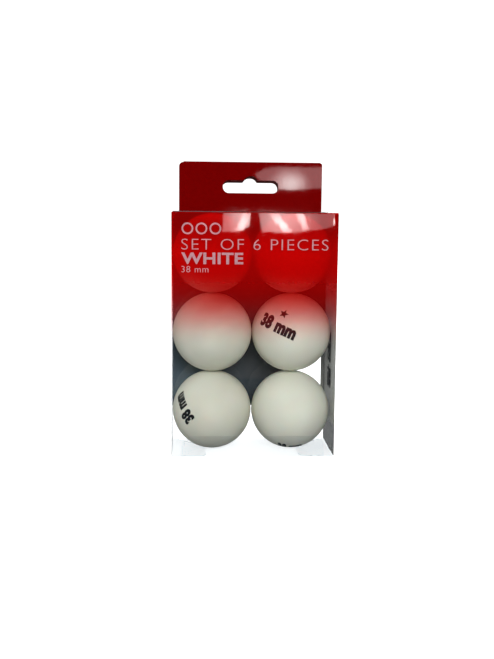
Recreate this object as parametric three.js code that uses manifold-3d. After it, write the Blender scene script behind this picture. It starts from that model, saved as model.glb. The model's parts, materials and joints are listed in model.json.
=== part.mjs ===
// Retail pack of six table tennis balls: a clear folding carton with a hang header, holding
// two columns of three hollow balls. Millimetres, +Z up, front of the pack towards -Y.
// The origin is under the middle of the pack, on the surface that it stands on.

import * as THREE from "three";
import { mergeVertices } from "three/addons/utils/BufferGeometryUtils.js";
import Module from "manifold-3d";

const wasm = await Module();
wasm.setup();

// Driving dimensions
const BALL_DIAMETER = 38;
const BALL_WALL = 0.4;
const COLUMNS = 2;
const ROWS = 3;
const SHEET = 0.25; // thickness of the clear plastic sheet
const SIDE_SLACK = 0.2; // from a ball to a side panel
const COLUMN_GAP = 0.3; // between the two columns of balls
const ROW_GAP = 0.05; // between one ball and the next above it
const DEPTH_SLACK = 0.35; // from a ball to the front and back panels
const END_SLACK = 0.15; // from a ball to the dust flap over or under it
const PLY_GAP = 0.1; // between two layers of sheet that lie on each other
const CREASE = 0.4; // from a fold line to the flat part of a panel

const HEADER_WIDTH = 71;
const HEADER_HEIGHT = 24.3;
const HEADER_CORNER_LEFT = 2.2;
const HEADER_CORNER_RIGHT = 0.9;
const HEADER_PLY_GAP = 0.15;
const SLOT_WIDTH = 27.6;
const SLOT_HEIGHT = 6.3;
const SLOT_DROP = 15.3; // from the header's top edge to the slot's lower edge
const SLOT_CORNER = 3;
const SLOT_SLIP = new THREE.Vector2(-0.6, -1.3); // from the front ply's slot to the rear ply's
const BUMP_HEIGHT = 2.1;
const BUMP_BASE = 7.6;
const BUMP_TOP = 3;

const TUCK_LENGTH = 10;
const TUCK_INSET = 4.5; // from the lid's side edges
const TUCK_CORNER = 5;
const TUCK_LEAN = THREE.MathUtils.degToRad(8); // the tuck flap leans in, off the panel beside it
const LID_SHORT = 0.95; // from the tuck flap's fold to the panel beside it
const LID_INSET = 0.2; // from the carton's side faces
const DUST_LENGTH = 16;
const DUST_TAPER = 1; // the edge by the lid's fold runs back this much for each unit of length
const DUST_FRONT = 1.4; // from the face that the lid folds from, at the dust flap's fold
const DUST_BACK = 2.15; // from the inner face that the tuck flap goes down
const DUST_CORNER = 3;
const GLUE_WIDTH = 11;
const GLUE_TAPER = 4;
const GLUE_SHORT = 1.6; // from each end of the carton

const BALL_SEGMENTS = 24;
const BALL_STEPS = 5;
const SEAM_GAP = 0.3; // between the two halves of a ball
const BAND_WIDTH = 2.8;
const BAND_WALL = 0.28;
const BAND_GAP = 0.3; // from the weld band to the shell around it

// Worked-out dimensions
const radius = BALL_DIAMETER / 2;
const columnPitch = BALL_DIAMETER + COLUMN_GAP;
const rowPitch = BALL_DIAMETER + ROW_GAP;
const width = COLUMNS * columnPitch - COLUMN_GAP + 2 * (SIDE_SLACK + SHEET);
const depth = BALL_DIAMETER + 2 * (DEPTH_SLACK + SHEET);
const endStack = 2 * SHEET + PLY_GAP + END_SLACK; // lid, dust flap and slack at each end
const height = ROWS * rowPitch - ROW_GAP + 2 * endStack;
const totalDepth = depth + HEADER_PLY_GAP + SHEET;
const front = -totalDepth / 2;
const back = front + depth;
const innerBack = back - SHEET;
const halfWidth = width / 2;
const middle = front + depth / 2;
const top = height + HEADER_HEIGHT;

// Looks of the materials
const clearSheet = { color: 0xdfe6e6, roughness: 0.08, transparent: true, opacity: 0.3 };
const fadedPrint = { color: 0xa80c10, roughness: 0.12, transparent: true, opacity: 0.75 };
const darkPrint = { color: 0x2c3438, roughness: 0.15, transparent: true, opacity: 0.8 };
const redHeader = { color: 0x780104, roughness: 0.15 };
const ballShell = { color: 0xe9e8de, roughness: 0.55 };
const weld = { color: 0xd8d5c4, roughness: 0.6 };

const pack = new THREE.Group();

// Names a mesh, gives it a material of its own and puts it in a group.
function place(group, name, geometry, look) {
  const mesh = new THREE.Mesh(geometry, new THREE.MeshStandardMaterial({ metalness: 0, ...look }));
  mesh.name = name;
  group.add(mesh);
  return mesh;
}

// A flat sheet given by its lowest and highest corners.
function plate(low, high) {
  const size = high.map((value, axis) => value - low[axis]);
  const centre = high.map((value, axis) => (value + low[axis]) / 2);
  return new THREE.BoxGeometry(...size).translate(...centre);
}

// A sheet of the given outline, drawn in X and Y, from height 0 up to its thickness.
function sheetOf(outline, thickness = SHEET, curveSegments = 6) {
  return new THREE.ExtrudeGeometry(outline, {
    depth: thickness,
    bevelEnabled: false,
    curveSegments,
  });
}

// Walls of the carton, which is one sheet folded at its corners and glued at one seam. The top
// lid folds from the front panel and the bottom lid from the back panel, so those two edges
// stop short of the fold line.
function addPanels() {
  const sideEnd = SHEET + PLY_GAP + CREASE; // the side panels stop short of the dust flaps' folds
  place(
    pack,
    "front_panel",
    plate([-halfWidth, front, 0], [halfWidth, front + SHEET, height - CREASE]),
    fadedPrint,
  );
  place(
    pack,
    "back_panel",
    plate([-halfWidth, innerBack, CREASE], [halfWidth, back, height]),
    darkPrint,
  );
  for (const [name, side] of [
    ["left_side_panel", -1],
    ["right_side_panel", 1],
  ]) {
    const inner = side * (halfWidth - SHEET);
    const outer = side * halfWidth;
    place(
      pack,
      name,
      plate(
        [Math.min(inner, outer), front + SHEET + PLY_GAP, sideEnd],
        [Math.max(inner, outer), innerBack - PLY_GAP, height - sideEnd],
      ),
      clearSheet,
    );
  }
}

// The seam flap folds in from the left side panel and is glued inside the back panel.
function addGlueFlap() {
  const root = halfWidth - SHEET - PLY_GAP;
  const tip = root - GLUE_WIDTH;
  const low = GLUE_SHORT;
  const high = height - GLUE_SHORT;
  const outline = new THREE.Shape([
    new THREE.Vector2(-root, low),
    new THREE.Vector2(-tip, low + GLUE_TAPER),
    new THREE.Vector2(-tip, high - GLUE_TAPER),
    new THREE.Vector2(-root, high),
  ]);
  const flap = sheetOf(outline).rotateX(Math.PI / 2);
  flap.translate(0, innerBack - PLY_GAP, 0);
  place(pack, "glue_flap", flap, clearSheet);
}

// The header's outline, with only its two upper corners rounded.
function headerOutline(low, high) {
  const half = HEADER_WIDTH / 2;
  const left = HEADER_CORNER_LEFT;
  const right = HEADER_CORNER_RIGHT;
  const outline = new THREE.Shape();
  outline.moveTo(-half, low);
  outline.lineTo(half, low);
  outline.lineTo(half, high - right);
  outline.absarc(half - right, high - right, right, 0, Math.PI / 2);
  outline.lineTo(-half + left, high);
  outline.absarc(-half + left, high - left, left, Math.PI / 2, Math.PI);
  return outline;
}

// The hang slot: a long hole with round ends, and a bump over its middle that finds the hook.
function slotOutline(slip = new THREE.Vector2()) {
  const low = top - SLOT_DROP + slip.y;
  const high = low + SLOT_HEIGHT;
  const peak = high + BUMP_HEIGHT;
  const middleX = slip.x;
  const left = middleX - SLOT_WIDTH / 2 + SLOT_CORNER;
  const right = middleX + SLOT_WIDTH / 2 - SLOT_CORNER;
  const slot = new THREE.Path();
  slot.moveTo(left, low);
  slot.lineTo(right, low);
  slot.absarc(right, low + SLOT_CORNER, SLOT_CORNER, -Math.PI / 2, 0);
  slot.absarc(right, high - SLOT_CORNER, SLOT_CORNER, 0, Math.PI / 2);
  slot.lineTo(middleX + BUMP_BASE / 2, high);
  slot.bezierCurveTo(middleX + BUMP_TOP, high, middleX + BUMP_TOP, peak, middleX, peak);
  slot.bezierCurveTo(middleX - BUMP_TOP, peak, middleX - BUMP_TOP, high, middleX - BUMP_BASE / 2, high);
  slot.lineTo(left, high);
  slot.absarc(left, high - SLOT_CORNER, SLOT_CORNER, Math.PI / 2, Math.PI);
  slot.absarc(left, low + SLOT_CORNER, SLOT_CORNER, Math.PI, 1.5 * Math.PI);
  return slot;
}

// Turns a closed three.js geometry into a solid that can be joined to another.
function solidOf(geometry) {
  const bare = new THREE.BufferGeometry().setAttribute(
    "position",
    (geometry.index ? geometry.toNonIndexed() : geometry).getAttribute("position"),
  );
  const merged = mergeVertices(bare, 1e-4);
  return new wasm.Manifold(
    new wasm.Mesh({
      numProp: 3,
      vertProperties: merged.attributes.position.array,
      triVerts: new Uint32Array(merged.index.array),
    }),
  );
}

function geometryOf(solid) {
  const mesh = solid.getMesh();
  return new THREE.BufferGeometry()
    .setAttribute("position", new THREE.BufferAttribute(mesh.vertProperties, 3))
    .setIndex(new THREE.BufferAttribute(mesh.triVerts, 1));
}

// The hang header is two plies: the back panel runs up, folds over at the top edge and comes
// down behind itself. The front ply stops under the fold, and the rear ply carries the fold.
// The fold isn't quite true, so the rear ply's slot shows inside the front ply's.
function addHeader() {
  const low = height + PLY_GAP;
  const frontPly = headerOutline(low, top - CREASE);
  frontPly.holes.push(slotOutline());
  place(
    pack,
    "header_front_ply",
    sheetOf(frontPly).rotateX(Math.PI / 2).translate(0, back, 0),
    redHeader,
  );

  const rearPly = headerOutline(low, top);
  rearPly.holes.push(slotOutline(SLOT_SLIP));
  const rear = sheetOf(rearPly).rotateX(Math.PI / 2).translate(0, -front, 0);
  const foldLeft = -HEADER_WIDTH / 2 + HEADER_CORNER_LEFT;
  const foldRight = HEADER_WIDTH / 2 - HEADER_CORNER_RIGHT;
  const fold = plate([foldLeft, innerBack, top - SHEET], [foldRight, -front, top]);
  place(
    pack,
    "header_rear_ply",
    geometryOf(solidOf(rear).add(solidOf(fold))),
    redHeader,
  );
}

// One end of the carton, drawn as its top and measured from the carton's centre. The lid folds
// from the front panel, its tuck flap goes down inside the back panel, and the two dust flaps
// fold in from the side panels, under the lid. The bottom is the same, turned half a turn about
// the X axis, so its lid folds from the back panel and tucks in behind the front panel.
function addClosure(end, turn) {
  const closure = new THREE.Group();
  closure.position.set(0, middle, height / 2);
  closure.rotation.x = turn;
  pack.add(closure);

  const outer = height / 2;
  const near = -depth / 2; // outer face of the panel that the lid folds from
  const far = depth / 2 - SHEET; // inner face of the panel that the tuck flap goes down
  const tuckFold = far - LID_SHORT;
  addLid(closure, end, near, tuckFold, outer);
  addTuckFlap(closure, end, tuckFold, outer);
  addDustFlaps(closure, end, near, far, outer);
}

function addLid(closure, end, near, tuckFold, outer) {
  const half = halfWidth - LID_INSET;
  const low = [-half, near + CREASE, outer - SHEET];
  const high = [half, tuckFold - CREASE, outer];
  place(closure, `${end}_lid`, plate(low, high), clearSheet);
}

// The tuck flap hangs from the lid's edge, with two rounded corners to guide it in.
function addTuckFlap(closure, end, tuckFold, outer) {
  const half = halfWidth - LID_INSET - TUCK_INSET;
  const centre = half - TUCK_CORNER;
  const rise = -TUCK_LENGTH + TUCK_CORNER;
  const outline = new THREE.Shape();
  outline.moveTo(-half, -CREASE);
  outline.lineTo(-half, rise);
  outline.absarc(-centre, rise, TUCK_CORNER, Math.PI, 1.5 * Math.PI);
  outline.lineTo(centre, -TUCK_LENGTH);
  outline.absarc(centre, rise, TUCK_CORNER, -Math.PI / 2, 0);
  outline.lineTo(half, -CREASE);
  const flap = place(closure, `${end}_tuck_flap`, sheetOf(outline).rotateX(Math.PI / 2), clearSheet);
  flap.position.set(0, tuckFold, outer);
  flap.rotation.x = -TUCK_LEAN;
}

// The dust flaps taper away from the lid's fold, so that all three can open together.
function addDustFlaps(closure, end, near, far, outer) {
  const root = halfWidth - CREASE;
  const tip = root - DUST_LENGTH;
  const foldSide = near + DUST_FRONT;
  const tuckSide = far - DUST_BACK;
  for (const [name, side] of [
    ["left", -1],
    ["right", 1],
  ]) {
    const outline = new THREE.Shape();
    outline.moveTo(side * root, foldSide);
    outline.lineTo(side * root, tuckSide);
    outline.lineTo(side * (tip + DUST_CORNER), tuckSide);
    outline.quadraticCurveTo(side * tip, tuckSide, side * tip, tuckSide - DUST_CORNER);
    outline.lineTo(side * tip, foldSide + DUST_TAPER * DUST_LENGTH);
    const flap = sheetOf(outline).translate(0, 0, outer - 2 * SHEET - PLY_GAP);
    place(closure, `${end}_dust_flap_${name}`, flap, clearSheet);
  }
}

// Half of a ball, with its pole up: a cup with its rim just above the seam plane.
function halfShell() {
  const inner = radius - BALL_WALL;
  const rim = SEAM_GAP / 2;
  const profile = [];
  const rimAngle = (r) => Math.asin(rim / r);
  const along = (r, share) => {
    const angle = rimAngle(r) + share * (Math.PI / 2 - rimAngle(r));
    const reach = share === 1 ? 0 : r * Math.cos(angle);
    return new THREE.Vector2(reach, r * Math.sin(angle));
  };
  for (let step = BALL_STEPS; step >= 0; step--) profile.push(along(inner, step / BALL_STEPS));
  for (let step = 0; step <= BALL_STEPS; step++) profile.push(along(radius, step / BALL_STEPS));
  return new THREE.LatheGeometry(profile, BALL_SEGMENTS);
}

// The weld band bridges the seam on the inside, where the two halves lap.
function weldBand() {
  const outer = radius - BALL_WALL - BAND_GAP;
  const inner = outer - BAND_WALL;
  const half = BAND_WIDTH / 2;
  const profile = [
    [inner, -half],
    [outer, -half],
    [outer, half],
    [inner, half],
    [inner, -half],
  ].map(([x, y]) => new THREE.Vector2(x, y));
  return new THREE.LatheGeometry(profile, BALL_SEGMENTS);
}

// Each ball is two half shells welded at a seam, and lies in the pack turned its own way.
function addBalls() {
  const rowNames = ["bottom", "middle", "top"];
  const columnNames = ["left", "right"];
  const turns = [
    [0.15, 0, 0.9],
    [1.2, 0.5, 0.3],
    [0.15, 1.1, -0.5],
    [0.9, -0.4, 1.05],
    [1.4, 0.3, -0.9],
    [0.5, 0.8, 0.7],
  ];
  for (let row = 0; row < ROWS; row++) {
    for (let column = 0; column < COLUMNS; column++) {
      const ball = new THREE.Group();
      const name = `ball_${rowNames[row]}_${columnNames[column]}`;
      ball.position.set(
        (column - (COLUMNS - 1) / 2) * columnPitch,
        middle,
        endStack + radius + row * rowPitch,
      );
      ball.rotation.set(...turns[row * COLUMNS + column]);
      place(ball, `${name}_shell_a`, halfShell(), ballShell);
      place(ball, `${name}_shell_b`, halfShell().rotateX(Math.PI), ballShell);
      place(ball, `${name}_weld_band`, weldBand(), weld);
      pack.add(ball);
    }
  }
}

addPanels();
addGlueFlap();
addHeader();
addClosure("top", 0);
addClosure("bottom", Math.PI);
addBalls();

export default pack;
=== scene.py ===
import json
import math

import bmesh
import bpy
import numpy as np
from mathutils import Matrix, Vector, noise
from mathutils.geometry import delaunay_2d_cdt
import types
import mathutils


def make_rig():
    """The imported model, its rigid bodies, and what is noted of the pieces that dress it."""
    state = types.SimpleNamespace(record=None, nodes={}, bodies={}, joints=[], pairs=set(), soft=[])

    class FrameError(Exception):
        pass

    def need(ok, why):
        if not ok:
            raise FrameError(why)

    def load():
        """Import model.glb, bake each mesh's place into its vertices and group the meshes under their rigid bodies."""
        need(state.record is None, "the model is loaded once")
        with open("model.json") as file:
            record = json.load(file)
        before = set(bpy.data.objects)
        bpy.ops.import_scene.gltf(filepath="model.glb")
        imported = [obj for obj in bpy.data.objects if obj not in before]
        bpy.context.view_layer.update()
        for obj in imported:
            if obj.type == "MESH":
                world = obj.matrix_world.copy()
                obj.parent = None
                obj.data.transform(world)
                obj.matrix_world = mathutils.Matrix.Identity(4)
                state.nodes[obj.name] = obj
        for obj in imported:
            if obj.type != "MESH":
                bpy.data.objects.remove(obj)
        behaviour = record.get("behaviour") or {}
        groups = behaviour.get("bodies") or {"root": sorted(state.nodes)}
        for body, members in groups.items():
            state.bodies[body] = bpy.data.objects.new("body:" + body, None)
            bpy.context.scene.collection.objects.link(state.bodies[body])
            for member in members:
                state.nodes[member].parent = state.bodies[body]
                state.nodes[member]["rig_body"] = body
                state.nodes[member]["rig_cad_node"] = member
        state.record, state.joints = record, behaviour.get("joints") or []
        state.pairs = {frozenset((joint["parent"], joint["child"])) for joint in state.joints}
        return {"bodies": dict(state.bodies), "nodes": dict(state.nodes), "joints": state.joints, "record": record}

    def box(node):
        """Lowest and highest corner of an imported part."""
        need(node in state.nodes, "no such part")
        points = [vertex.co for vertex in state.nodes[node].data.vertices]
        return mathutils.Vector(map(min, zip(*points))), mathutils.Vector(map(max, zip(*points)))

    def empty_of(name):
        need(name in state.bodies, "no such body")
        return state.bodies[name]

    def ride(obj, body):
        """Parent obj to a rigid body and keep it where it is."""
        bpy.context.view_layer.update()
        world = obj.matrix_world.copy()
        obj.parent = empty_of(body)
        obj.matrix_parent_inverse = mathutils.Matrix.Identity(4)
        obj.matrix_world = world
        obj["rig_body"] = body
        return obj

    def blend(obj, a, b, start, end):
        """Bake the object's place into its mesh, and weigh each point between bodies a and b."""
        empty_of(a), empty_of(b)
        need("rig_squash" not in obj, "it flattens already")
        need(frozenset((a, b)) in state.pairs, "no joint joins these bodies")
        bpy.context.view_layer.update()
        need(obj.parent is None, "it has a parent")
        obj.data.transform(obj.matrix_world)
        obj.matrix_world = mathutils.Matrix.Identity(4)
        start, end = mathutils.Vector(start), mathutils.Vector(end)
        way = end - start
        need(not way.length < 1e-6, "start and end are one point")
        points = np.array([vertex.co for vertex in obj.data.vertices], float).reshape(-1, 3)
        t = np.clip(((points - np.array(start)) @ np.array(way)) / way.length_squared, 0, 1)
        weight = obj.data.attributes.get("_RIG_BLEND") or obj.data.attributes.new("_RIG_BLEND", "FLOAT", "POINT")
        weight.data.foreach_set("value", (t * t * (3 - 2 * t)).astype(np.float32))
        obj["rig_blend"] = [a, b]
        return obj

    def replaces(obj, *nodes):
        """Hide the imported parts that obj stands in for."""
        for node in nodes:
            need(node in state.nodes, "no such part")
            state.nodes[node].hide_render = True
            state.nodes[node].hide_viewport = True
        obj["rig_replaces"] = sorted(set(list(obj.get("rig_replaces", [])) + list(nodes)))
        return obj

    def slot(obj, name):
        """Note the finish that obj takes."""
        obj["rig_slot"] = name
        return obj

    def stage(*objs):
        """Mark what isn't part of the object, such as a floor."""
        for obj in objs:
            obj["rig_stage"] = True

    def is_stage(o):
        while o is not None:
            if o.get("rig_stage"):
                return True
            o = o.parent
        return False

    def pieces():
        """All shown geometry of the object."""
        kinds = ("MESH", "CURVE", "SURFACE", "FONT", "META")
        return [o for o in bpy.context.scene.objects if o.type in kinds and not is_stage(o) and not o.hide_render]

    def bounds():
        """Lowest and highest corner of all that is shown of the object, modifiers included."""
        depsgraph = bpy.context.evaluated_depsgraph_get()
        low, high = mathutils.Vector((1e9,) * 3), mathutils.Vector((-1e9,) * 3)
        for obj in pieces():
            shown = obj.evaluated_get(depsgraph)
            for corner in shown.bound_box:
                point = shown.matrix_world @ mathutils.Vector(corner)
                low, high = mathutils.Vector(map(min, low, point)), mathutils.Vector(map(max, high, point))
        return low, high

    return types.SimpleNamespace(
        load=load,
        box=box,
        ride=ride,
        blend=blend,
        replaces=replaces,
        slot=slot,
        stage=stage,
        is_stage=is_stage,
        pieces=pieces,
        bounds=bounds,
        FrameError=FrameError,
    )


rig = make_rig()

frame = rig.load()
cad_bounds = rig.bounds()

MM = 0.001
ALONG_X = Vector((1, 0, 0))
ALONG_Y = Vector((0, 1, 0))
ALONG_Z = Vector((0, 0, 1))

# The carton, from the frame
front_low, front_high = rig.box("front_panel")
back_low, back_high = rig.box("back_panel")
top_lid_low, top_lid_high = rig.box("top_lid")
tuck_low, tuck_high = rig.box("top_tuck_flap")
dust_low, dust_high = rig.box("top_dust_flap_left")
glue_low, glue_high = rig.box("glue_flap")
header_low, header_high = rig.box("header_front_ply")
rear_low, rear_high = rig.box("header_rear_ply")

HALF_WIDTH = front_high.x
FRONT = front_low.y
BACK = back_high.y
MIDDLE = (FRONT + BACK) / 2
HEIGHT = back_high.z
SHEET = front_high.y - front_low.y
CREASE = HEIGHT - front_high.z  # outer radius of every crease
TUCK_LEAN = math.radians(8)
HEADER_HALF = header_high.x
HEADER_TOP = rear_high.z
FOLD_RADIUS = (rear_high.y - header_low.y) / 2  # of the header's fold, outside

# The sheet's cut outlines, as in the CAD model
HEADER_CORNER_LEFT = 2.2 * MM
HEADER_CORNER_RIGHT = 0.9 * MM
SLOT_WIDTH = 27.6 * MM
SLOT_HEIGHT = 6.3 * MM
SLOT_DROP = 15.3 * MM
SLOT_CORNER = 3 * MM
SLOT_SLIP = Vector((-0.6, -1.3)) * MM  # from the front ply's slot to the rear ply's
BUMP_HEIGHT = 2.1 * MM
BUMP_BASE = 7.6 * MM
BUMP_TOP = 3 * MM
TUCK_CORNER = 5 * MM
DUST_CORNER = 3 * MM
TUCK_CREASE_TURN = 94  # degrees, round the crease of a tuck flap
GLUE_TAPER = 4 * MM

# The front panel's print, by height
PRINT_FULL = 91 * MM  # solid red above here
PRINT_NONE = 53 * MM  # and clear below here
RED_DARKENS = 96 * MM  # from here
RED_DARKEST = 110 * MM  # to here

# The back panel's print, which leaves the foot and a window at the lower right clear
BACK_PRINT_FOOT = 17.5 * MM
BACK_WINDOW_LEFT = 19 * MM
BACK_WINDOW_RIGHT = 36.7 * MM
BACK_WINDOW_TOP = 62 * MM
BALL_SHADE_TOP = 30.5 * MM  # the middle of the back is darker below here, painted shade of the balls in front of it
BALL_SHADE_END = 32 * MM  # and paler above here

SIDE_PRINT_FOOT = 15.5 * MM  # the right side panel's grey is darker below here
SIDE_FOOT_BLEND = 1.5 * MM  # and darkens over this height

BALL_RADIUS = 19 * MM
BALL_WALL = 0.4 * MM
RIM_GAP = 0.002 * MM  # from each half to the seam
FAINT_SEAM = 0.006 * MM  # how far the lip at a seam is sunk
CLEAREST_SEAM = 0.03 * MM  # and on the bottom left ball
SEAM_LIP = 0.3 * MM  # how far from the seam the lip starts
SAME_PLACE = 1e-7  # points nearer than this count as one

PRINT_DEPTH = 0.01 * MM  # half the depth of flat print, before it is laid on a surface
PRINT_UNDERSIDE = 0.002 * MM  # from a surface to the print laid on it
PRINT_FACE = 0.012 * MM  # and to that print's outer face


# ---------------------------------------------------------------- materials


def new_material(name):
    """A material with only an output node, and its node tree."""
    material = bpy.data.materials.new(name)
    material.use_nodes = True
    tree = material.node_tree
    tree.nodes.clear()
    tree.nodes.new("ShaderNodeOutputMaterial")
    return material, tree


def add(tree, kind, inputs=None, **settings):
    """A node of that kind. An input is a value, or the socket that feeds it."""
    node = tree.nodes.new("ShaderNode" + kind)
    for key, value in settings.items():
        setattr(node, key, value)
    for key, value in (inputs or {}).items():
        if isinstance(value, bpy.types.NodeSocket):
            tree.links.new(value, node.inputs[key])
        else:
            node.inputs[key].default_value = value
    return node


def finish_material(tree, surface):
    output = next(n for n in tree.nodes if n.type == "OUTPUT_MATERIAL")
    tree.links.new(surface, output.inputs["Surface"])


def place_in_frame(tree):
    """The piece's own coordinates, in metres, which are the frame's at rest."""
    return add(tree, "TexCoord").outputs["Object"]


def maths(tree, operation, first, second):
    return add(tree, "Math", {0: first, 1: second}, operation=operation).outputs[0]


def mix_colours(tree, factor, first, second):
    return add(tree, "Mix", {0: factor, 6: first, 7: second}, data_type="RGBA").outputs[2]


def mix_shaders(tree, factor, first, second):
    return add(tree, "MixShader", {0: factor, 1: first, 2: second}).outputs[0]


def map_range(tree, value, from_low, from_high, low, high, kind="LINEAR"):
    ends = {"From Min": from_low, "From Max": from_high, "To Min": low, "To Max": high}
    return add(tree, "MapRange", {"Value": value, **ends}, interpolation_type=kind).outputs[0]


def rough_noise(tree, scale, detail, low, high, by_axis=(1, 1, 1)):
    """A noise pattern mapped to run from low to high. by_axis below 1 draws it out along an axis."""
    where = add(tree, "Mapping", {"Vector": place_in_frame(tree), "Scale": by_axis})
    pattern = add(tree, "TexNoise", {"Vector": where.outputs[0], "Scale": scale, "Detail": detail})
    return map_range(tree, pattern.outputs["Fac"], 0.3, 0.7, low, high)


def by_height(tree, low, high, start, end):
    """A smooth change from start to end between two heights on the piece."""
    height = add(tree, "SeparateXYZ", {0: place_in_frame(tree)}).outputs["Z"]
    return map_range(tree, height, low, high, start, end, "SMOOTHSTEP")


def sheet_waves(tree):
    """The slight unevenness of thin plastic sheet, in broad waves with finer ones on them."""
    broad = rough_noise(tree, 22, 1, 0, 1)
    fine = rough_noise(tree, 160, 2, 0, 1, by_axis=(1, 1, 0.4))
    first = add(tree, "Bump", {"Height": broad, "Strength": 1, "Distance": 0.03 * MM})
    second = add(
        tree,
        "Bump",
        {"Height": fine, "Strength": 1, "Distance": 0.003 * MM, "Normal": first.outputs[0]},
    )
    return second.outputs[0]


CLEAR = (0.98, 0.985, 0.988, 1)  # what one face of clear sheet lets through
HAZE = 0.022  # the most of a clear sheet that is milky
END_HAZE = 0.008  # and of an end's
GLOSS = 0.6  # how much of a surface's full reflection is kept
END_GLOSS = 0.12
SIDE_GLOSS = 0.4
HEADER_GLOSS = 0.5


def gloss_over(tree, body, share, roughness, waves):
    """A clear glossy surface over a body: more at grazing angles, as on any plastic."""
    edge_on = add(tree, "Fresnel", {"IOR": 1.5, "Normal": waves})
    amount = maths(tree, "MULTIPLY", edge_on.outputs[0], share)
    shine = add(tree, "BsdfGlossy", {"Color": (1, 1, 1, 1), "Roughness": roughness, "Normal": waves})
    return mix_shaders(tree, amount, body, shine.outputs[0])


def clear_body(tree, most_haze=HAZE):
    """Clear sheet with a faint milky haze, uneven where the sheet has been handled."""
    clear = add(tree, "BsdfTransparent", {"Color": CLEAR})
    haze = add(tree, "BsdfDiffuse", {"Color": (0.5, 0.58, 0.64, 1)})
    amount = rough_noise(tree, 55, 5, 0, most_haze, by_axis=(1, 1, 0.25))
    return mix_shaders(tree, amount, clear.outputs[0], haze.outputs[0])


def make_clear_sheet(name, share, most_haze):
    material, tree = new_material(name)
    waves = sheet_waves(tree)
    body = clear_body(tree, most_haze)
    roughness = rough_noise(tree, 300, 3, 0.015, 0.03)
    finish_material(tree, gloss_over(tree, body, share, roughness, waves))
    return material


def make_cut_edge():
    """A cut edge of a flap, which gathers light and looks paler than the sheet."""
    material, tree = new_material("cut_edge")
    clear = add(tree, "BsdfTransparent", {"Color": (0.9, 0.93, 0.95, 1)})
    pale = add(tree, "BsdfDiffuse", {"Color": (0.75, 0.8, 0.84, 1)})
    amount = rough_noise(tree, 500, 3, 0.15, 0.4)
    finish_material(tree, mix_shaders(tree, amount, clear.outputs[0], pale.outputs[0]))
    return material


def make_front_print():
    """Red ink on the clear front: part filter and part colour, fading out downwards."""
    material, tree = new_material("front_print")
    waves = sheet_waves(tree)
    ink = by_height(tree, PRINT_NONE, PRINT_FULL, 0, 1)
    # the red is darker and less clear towards the top
    darker_top = by_height(tree, RED_DARKENS, RED_DARKEST, 0, 1)
    filter_red = mix_colours(tree, darker_top, (0.93, 0.003, 0.003, 1), (0.78, 0.002, 0.002, 1))
    filtered = mix_colours(tree, ink, CLEAR, filter_red)
    through = add(tree, "BsdfTransparent", {"Color": filtered})
    mottle = rough_noise(tree, 900, 2, 0, 1)
    red = mix_colours(tree, mottle, (0.6, 0.0015, 0.0015, 1), (0.68, 0.002, 0.002, 1))
    red = mix_colours(tree, darker_top, red, (0.37, 0.0015, 0.0015, 1))
    colour = add(tree, "BsdfDiffuse", {"Color": red})
    cover = maths(tree, "MULTIPLY", ink, by_height(tree, RED_DARKENS, RED_DARKEST, 0.45, 0.5))
    body = mix_shaders(tree, cover, through.outputs[0], colour.outputs[0])
    roughness = rough_noise(tree, 300, 3, 0.015, 0.03)
    finish_material(tree, gloss_over(tree, body, GLOSS, roughness, waves))
    return material


def make_back_ink_and_painted_light():
    """Slate ink over most of the back, clear at its foot and in a window at one side, grey in the margin beside the
    window. It is paler and bluer towards the other side, painted light as if let in through the clear left panel, and
    darker low in the middle, painted shade of the balls."""
    material, tree = new_material("back_print")
    waves = sheet_waves(tree)
    parts = add(tree, "SeparateXYZ", {0: place_in_frame(tree)})
    across, height = parts.outputs["X"], parts.outputs["Z"]
    above_foot = maths(tree, "GREATER_THAN", height, BACK_PRINT_FOOT)
    above_window = maths(tree, "GREATER_THAN", height, BACK_WINDOW_TOP)
    left = maths(tree, "LESS_THAN", across, BACK_WINDOW_LEFT)
    right = maths(tree, "GREATER_THAN", across, BACK_WINDOW_RIGHT)
    around = maths(tree, "MAXIMUM", above_window, maths(tree, "MAXIMUM", left, right))
    ink = maths(tree, "MULTIPLY", above_foot, around)
    clear = clear_body(tree)
    streaks = rough_noise(tree, 40, 4, 0, 1, by_axis=(1, 1, 0.08))
    middle = mix_colours(tree, streaks, (0.05, 0.052, 0.053, 1), (0.07, 0.075, 0.079, 1))
    # painted shade: the middle is darker low down, where the balls shade the back
    ball_shaded_lower = mix_colours(tree, streaks, (0.03, 0.038, 0.044, 1), (0.043, 0.054, 0.062, 1))
    middle = mix_colours(tree, by_height(tree, BALL_SHADE_TOP, BALL_SHADE_END, 0, 1), ball_shaded_lower, middle)
    # painted light: paler and bluer towards the left, as if lit through the clear left panel
    side = mix_colours(tree, streaks, (0.07, 0.1, 0.122, 1), (0.12, 0.165, 0.198, 1))
    outwards = map_range(tree, across, 0, -0.8 * HALF_WIDTH, 0, 1)
    slate = mix_colours(tree, outwards, middle, side)
    below_top = by_height(tree, BACK_WINDOW_TOP, BACK_WINDOW_TOP + MM, 1, 0)
    margin = maths(tree, "MULTIPLY", right, below_top)
    slate = mix_colours(tree, margin, slate, (0.3, 0.3, 0.275, 1))
    colour = add(tree, "BsdfDiffuse", {"Color": slate})
    body = mix_shaders(tree, ink, clear, colour.outputs[0])
    roughness = rough_noise(tree, 300, 3, 0.05, 0.14)
    finish_material(tree, gloss_over(tree, body, GLOSS, roughness, waves))
    return material


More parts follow.
